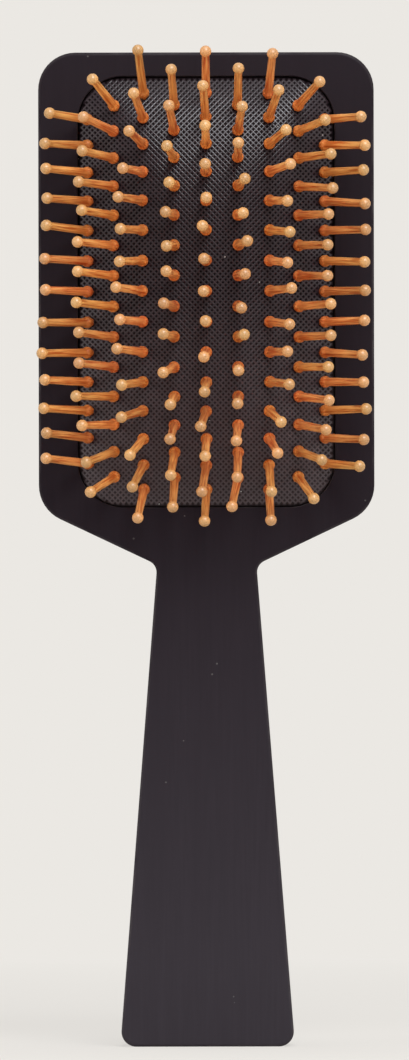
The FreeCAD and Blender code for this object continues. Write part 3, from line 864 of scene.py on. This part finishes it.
def turned_wood(pins):
    """Varnished wood: red-brown at the foot, orange along the shaft and pale at the tip.

    Each pin has its own tone. Dark streaks run along the shaft, and rings of end grain show on the ball.
    """
    material, tree = new_material("turned_wood")
    place, tone, seed = (
        add_node(tree, "ShaderNodeAttribute", attribute_name=name).outputs[kind]
        for name, kind in (("place", "Vector"), ("tone", "Fac"), ("seed", "Fac"))
    )
    fibres = wood_fibres(tree, vector_sums(tree, "ADD", place, seed), pins)
    height = add_node(tree, "ShaderNodeSeparateXYZ", {0: place}).outputs["Z"]
    pale, middle = (
        spread(tree, height, pins.reach + pins.ball * low, pins.reach + pins.ball * high)
        for low, high in (PALE_ZONE, END_GRAIN_ZONE)
    )
    wood = mix_colours(tree, spread(tree, height, 0.0, pins.reach * HEART_SHARE), pins.heart, pins.wood)
    wood = mix_colours(tree, pale, wood, pins.tip)
    dark = spread(tree, fibres["Streaks"], *STREAK_MASK, 0.0, pins.streaks)
    dark = sums(tree, "MULTIPLY", dark, sums(tree, "SUBTRACT", 1.0, pale))
    wood = mix_colours(tree, dark, wood, pins.streak)
    wood = mix_colours(tree, middle, wood, pins.end_grain)

    shade = vary(tree, fibres["Streaks"], *PIN_STREAK_SHADE)
    for mask, ends in ((fibres["Bands"], PIN_BAND_SHADE), (tone, PIN_TONE_SHADE)):
        shade = sums(tree, "MULTIPLY", shade, vary(tree, mask, *ends))
    waves = {
        "Vector": shifted_rings(tree, place, seed, pins.ball),
        "Scale": 2 * math.pi / (WAVE_TURNS * pins.ring_width),
        "Distortion": RING_WAVER,
        "Detail": RING_DETAIL,
    }
    rings = add_node(tree, "ShaderNodeTexWave", waves, wave_type="RINGS", rings_direction="Z").outputs["Fac"]
    end_grain = sums(tree, "MULTIPLY", pale, spread(tree, rings, *RING_MASK, *PIN_RING_SHADE))
    wood = shade_colour(tree, wood, sums(tree, "SUBTRACT", shade, end_grain))
    toned = {"Hue": vary(tree, seed, *PIN_HUE), "Color": wood}
    add_surface(tree, {
        "Base Color": add_node(tree, "ShaderNodeHueSaturation", toned).outputs[0],
        "Roughness": vary(tree, fibres["Streaks"], *(pins.roughness + step for step in PIN_ROUGHNESS_STEPS)),
        "Specular IOR Level": pins.gloss,
        "Coat Weight": pins.varnish,
        "Coat Roughness": pins.varnish_roughness,
        "Normal": bump(tree, fibres["Streaks"], FIBRE_DEPTH, pins.relief),
    })
    return material


def seen_rays(tree):
    """1 for rays that show the backdrop: from the camera, in gloss and through glass."""
    path = add_node(tree, "ShaderNodeLightPath").outputs
    seen = sums(tree, "MAXIMUM", path["Is Camera Ray"], path["Is Glossy Ray"])
    return sums(tree, "MAXIMUM", seen, path["Is Transmission Ray"])


def floor_material(setup):
    """Pale floor that looks like the backdrop and takes a soft shadow round the brush."""
    material, tree = new_material("pale_floor")
    place = add_node(tree, "ShaderNodeTexCoord").outputs["Object"]
    away = add_node(tree, "ShaderNodeVectorMath", {0: place}, operation="LENGTH").outputs["Value"]
    share = spread(tree, away, *SHADOW_FADE, setup.shadow, 0.0)
    matte = add_node(tree, "ShaderNodeBsdfDiffuse", {"Color": setup.floor}).outputs[0]
    dim = add_node(tree, "ShaderNodeBsdfDiffuse", {"Color": setup.bounce}).outputs[0]
    plain = add_node(tree, "ShaderNodeEmission", {"Color": setup.backdrop}).outputs[0]
    shown = add_node(tree, "ShaderNodeMixShader", {0: share, 1: plain, 2: matte}).outputs[0]
    surface = add_node(tree, "ShaderNodeMixShader", {0: seen_rays(tree), 1: dim, 2: shown}).outputs[0]
    add_node(tree, "ShaderNodeOutputMaterial", {"Surface": surface})
    return material


def disc_surface(radius, rings, sides):
    """Flat disc on the floor: rings of points round a pole at the middle."""
    reach = radius * np.linspace(1.0, 0.0, rings, endpoint=False)
    turn = np.linspace(0.0, 2 * math.pi, sides, endpoint=False)
    across, along = reach[:, None] * np.cos(turn), reach[:, None] * np.sin(turn)
    points = np.stack([across, along, np.full_like(across, SHELF)], axis=-1).reshape(-1, 3)
    numbers = np.arange(rings * sides).reshape(rings, sides)
    pole = np.array([[0.0, 0.0, SHELF]])
    faces = ring_faces(numbers)[:, ::-1].tolist() + fan_faces(numbers[-1], rings * sides)[:, ::-1].tolist()
    return np.concatenate([points, pole]), faces


def add_lamp(name, place, aim, size, energy, tint):
    """Square soft lamp that points at a place and isn't seen itself."""
    data = bpy.data.lights.new(name, "AREA")
    data.size = size
    data.energy = energy
    data.color = tint
    lamp = bpy.data.objects.new(name, data)
    lamp.location = place
    lamp.rotation_euler = (Vector(aim) - Vector(place)).to_track_quat("-Z", "Y").to_euler()
    lamp.visible_camera = False
    bpy.context.scene.collection.objects.link(lamp)
    return lamp


def set_world(setup):
    """Backdrop colour where it is seen, and even white light elsewhere."""
    world = bpy.data.worlds.new("studio")
    tree = fresh_tree(world)
    shown = add_node(tree, "ShaderNodeBackground", {"Color": setup.backdrop, "Strength": 1.0}).outputs[0]
    light = add_node(tree, "ShaderNodeBackground", {"Strength": setup.ambient}).outputs[0]
    surface = add_node(tree, "ShaderNodeMixShader", {0: seen_rays(tree), 1: light, 2: shown}).outputs[0]
    add_node(tree, "ShaderNodeOutputWorld", {"Surface": surface})
    bpy.context.scene.world = world


def set_camera(setup):
    """Long lens in front of the brush, level, with the picture's height across the sensor's long side."""
    data = bpy.data.cameras.new("camera")
    data.lens = data.sensor_width * setup.camera_distance / setup.frame_height
    camera = bpy.data.objects.new("camera", data)
    camera.location = (setup.camera_side, BOARD_LOW.y - setup.camera_distance, SHELF + setup.camera_height)
    camera.rotation_euler = (math.pi / 2, setup.camera_roll, 0.0)
    bpy.context.scene.collection.objects.link(camera)
    bpy.context.scene.camera = camera


class PADDLE_OT_finish_board(bpy.types.Operator):
    """Give the board its black stain"""

    bl_idname = "paddle.finish_board"
    bl_label = "Finish Board"

    def execute(self, context):
        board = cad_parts[BOARD]
        board.data.materials.clear()
        board.data.materials.append(stained_wood(context.scene.paddle_brush.board))
        return {"FINISHED"}


class PADDLE_OT_mould_cushion(bpy.types.Operator):
    """Mould the embossed rubber dome and the flange that holds it"""

    bl_idname = "paddle.mould_cushion"
    bl_label = "Mould Cushion"

    def execute(self, context):
        form = context.scene.paddle_brush.cushion
        rubber = moulded_rubber(form)
        points, faces, ribs = cushion_surface(form)
        membrane = add_piece("cushion_dome", points, faces, rubber, DOME_CREASE)
        add_values(membrane, "rib", ribs)
        flange = add_piece("cushion_flange", *flange_surface(form), rubber, FLANGE_CREASE)
        for piece in (membrane, flange):
            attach(piece, PADDLE_BODY)
            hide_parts(PAD)
        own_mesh(membrane)
        return {"FINISHED"}


class PADDLE_OT_turn_pins(bpy.types.Operator):
    """Turn the wooden pins, one piece for each group that sinks alike"""

    bl_idname = "paddle.turn_pins"
    bl_label = "Turn Pins"

    def execute(self, context):
        settings = context.scene.paddle_brush
        wood = turned_wood(settings.pins)
        draw = np.random.default_rng(PIN_SEED)
        for node, points in pin_places(settings.cushion, settings.pins).items():
            made = turned_pins(settings.cushion, settings.pins, points, draw)
            piece = add_piece(f"turned_{node}", made["points"], made["faces"], wood, PIN_CREASE)
            for name in ("place", "tone", "seed"):
                add_values(piece, name, made[name])
            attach(piece, node)
            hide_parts(node)
        return {"FINISHED"}


class PADDLE_OT_set_stage(bpy.types.Operator):
    """Set up the pale floor, the lamps and the camera"""

    bl_idname = "paddle.set_stage"
    bl_label = "Set Stage"

    def execute(self, context):
        setup = context.scene.paddle_brush.stage
        floor = add_piece("floor", *disc_surface(*FLOOR_DISC), floor_material(setup), FLOOR_CREASE)
        aim = (0.0, BOARD_LOW.y, PAD_CENTRE)
        powers = {
            "key": setup.key_power, SHEEN: setup.sheen_power,
            "left": setup.left_power, "right": setup.right_power, "top": setup.top_power,
        }
        for name, (place, size, tint) in LAMPS.items():
            lamp = add_lamp(f"{name}_lamp", place, aim, size, powers[name], tint)
            lamp.visible_diffuse = name != SHEEN
        set_world(setup)
        set_camera(setup)
        context.scene.view_settings.view_transform = "Standard"
        return {"FINISHED"}


class PADDLE_PT_brush(bpy.types.Panel):
    """Steps and settings of the paddle brush"""

    bl_idname = "PADDLE_PT_brush"
    bl_label = "Paddle Brush"
    bl_space_type = "VIEW_3D"
    bl_region_type = "UI"
    bl_category = "Brush"

    def draw(self, context):
        settings = context.scene.paddle_brush
        groups = settings.board, settings.cushion, settings.pins, settings.stage
        for operator, group in zip(OPERATORS, groups):
            box = self.layout.box()
            box.operator(operator.bl_idname)
            for name in group.__annotations__:
                box.prop(group, name)


OPERATORS = (PADDLE_OT_finish_board, PADDLE_OT_mould_cushion, PADDLE_OT_turn_pins, PADDLE_OT_set_stage)
GROUPS = (BoardFinish, CushionForm, PinForm, StageSetup, BrushSettings)
CLASSES = (*GROUPS, *OPERATORS, PADDLE_PT_brush)


def register():
    """Registers the settings, the steps and their panel."""
    for item in CLASSES:
        bpy.utils.register_class(item)
    bpy.types.Scene.paddle_brush = PointerProperty(type=BrushSettings)


def unregister():
    """Takes the settings, the steps and their panel out again."""
    del bpy.types.Scene.paddle_brush
    for item in reversed(CLASSES):
        bpy.utils.unregister_class(item)


def main():
    """Dresses the brush step by step."""
    register()
    bpy.ops.paddle.finish_board()
    bpy.ops.paddle.mould_cushion()
    bpy.ops.paddle.turn_pins()
    bpy.ops.paddle.set_stage()


if __name__ == "__main__":
    main()
